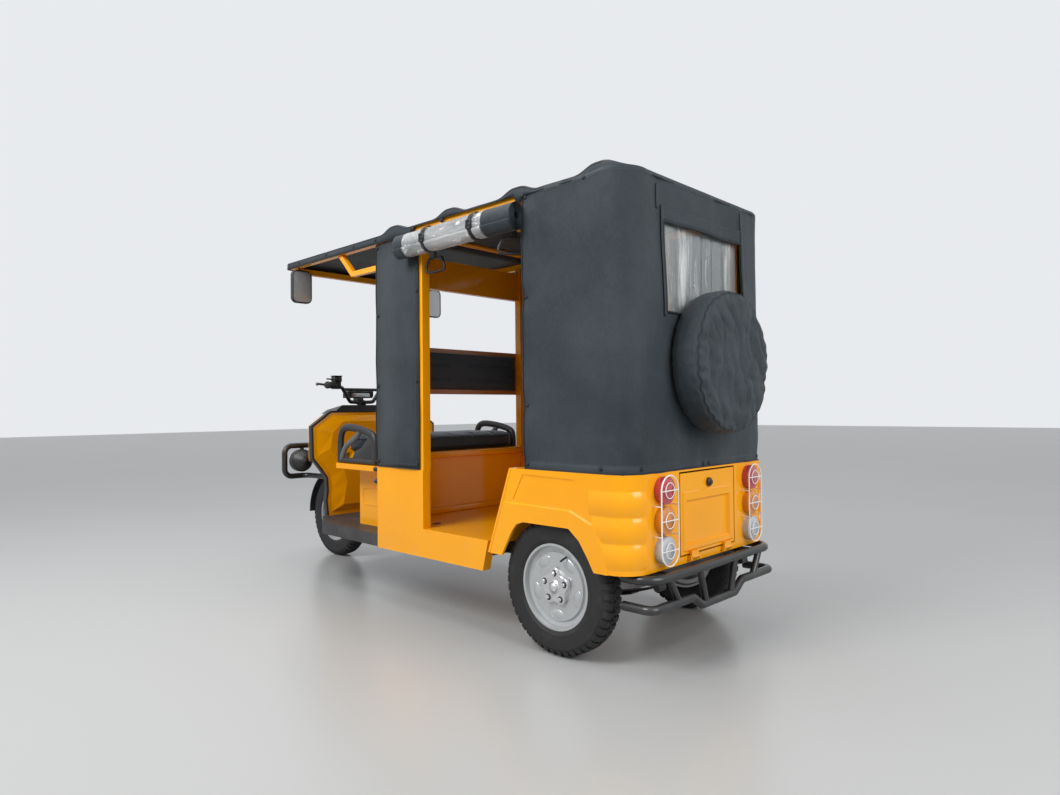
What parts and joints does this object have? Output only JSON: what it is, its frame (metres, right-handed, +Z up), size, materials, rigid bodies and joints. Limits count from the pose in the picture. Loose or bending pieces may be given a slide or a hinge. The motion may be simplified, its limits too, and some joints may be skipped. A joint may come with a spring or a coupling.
{
  "type": "auto rickshaw",
  "caption": "Three-wheeled electric auto rickshaw with a canvas cabin over a pressed steel tub, bench seats, handlebar steering and a covered spare wheel at the tail.",
  "frame": {"origin": "on the floor under the middle of the vehicle's bounding box", "axes": "+X forward, +Y to the vehicle's left, +Z up"},
  "size_m": [3.002, 1.1504, 1.745],
  "materials": {
    "orange_paint": "gloss enamel",
    "dark_paint": "satin black enamel",
    "canvas": "coated tarpaulin, fine weave",
    "clear_sheet": "soft clear plastic",
    "vinyl": "stitched vinyl",
    "black_plastic": "moulded, lightly textured",
    "tyre": "road tyre",
    "rim_silver": "silver wheel paint",
    "red_lens": "moulded lens",
    "amber_lens": "moulded lens",
    "white_lens": "moulded lens",
    "wire_white": "coated wire",
    "steel": "machined steel",
    "mirror_black": "mirror housing",
    "board_black": "rubber covered footboard"
  },
  "bodies": {
    "root": {"chassis_frame": "dark_paint", "floor_pan": "orange_paint", "footboard": "board_black", "sill_left": "orange_paint", "sill_right": "orange_paint", "side_panel_left": "orange_paint", "side_panel_right": "orange_paint", "fender_left": "orange_paint", "fender_right": "orange_paint", "tail_panel": "orange_paint", "pillars": "orange_paint", "roof_rails": "orange_paint", "roof_bows": "orange_paint", "roof_braces": "orange_paint", "roof_canvas": "canvas", "rear_canvas": "canvas", "rear_window": "clear_sheet", "strip_canvas": "canvas", "curtain_rolls": "canvas", "partition_wall": "orange_paint", "partition_header": "orange_paint", "driver_backrest": "vinyl", "driver_seat_box": "orange_paint", "battery_block": "black_plastic", "driver_cushion": "vinyl", "driver_armrests": "black_plastic", "rear_bench_box": "orange_paint", "rear_cushion": "vinyl", "rear_backrest": "vinyl", "spare_wheel": "canvas", "spare_carrier": "dark_paint", "front_cowl": "orange_paint", "dash_top": "black_plastic", "front_guard": "dark_paint", "headlamps": "black_plastic", "mirrors": "mirror_black", "grab_handles": "black_plastic", "tail_lamps_red": "red_lens", "tail_lamps_amber": "amber_lens", "tail_lamps_white": "white_lens", "lamp_guards": "wire_white", "rear_bumper": "dark_paint", "rear_axle": "steel", "leaf_springs": "dark_paint"},
    "steering": {"fork": "dark_paint", "handlebar": "dark_paint", "instrument_box": "black_plastic", "front_mudguard": "black_plastic"},
    "front_wheel": {"front_tyre": "tyre", "front_rim": "rim_silver"},
    "rear_wheel_left": {"rear_tyre_left": "tyre", "rear_rim_left": "rim_silver"},
    "rear_wheel_right": {"rear_tyre_right": "tyre", "rear_rim_right": "rim_silver"},
    "hatch": {"tail_hatch": "orange_paint"}
  },
  "joints": [
    {"name": "steering_turn", "type": "hinge", "parent": "root", "child": "steering", "pos_m": [0.989, 0, 0.93], "axis": [-0.309, 0, 0.9511], "range_deg": [-40, 40]},
    {"name": "front_wheel_spin", "type": "hinge", "parent": "steering", "child": "front_wheel", "pos_m": [1.229, 0, 0.25], "axis": [0, 1, 0], "continuous": true},
    {"name": "rear_left_spin", "type": "hinge", "parent": "root", "child": "rear_wheel_left", "pos_m": [-1.001, 0.425, 0.25], "axis": [0, 1, 0], "continuous": true},
    {"name": "rear_right_spin", "type": "hinge", "parent": "root", "child": "rear_wheel_right", "pos_m": [-1.001, -0.425, 0.25], "axis": [0, 1, 0], "continuous": true},
    {"name": "hatch_hinge", "type": "hinge", "parent": "root", "child": "hatch", "pos_m": [-1.378, 0, 0.36], "axis": [0, -1, 0], "range_deg": [0, 90]}
  ]
}
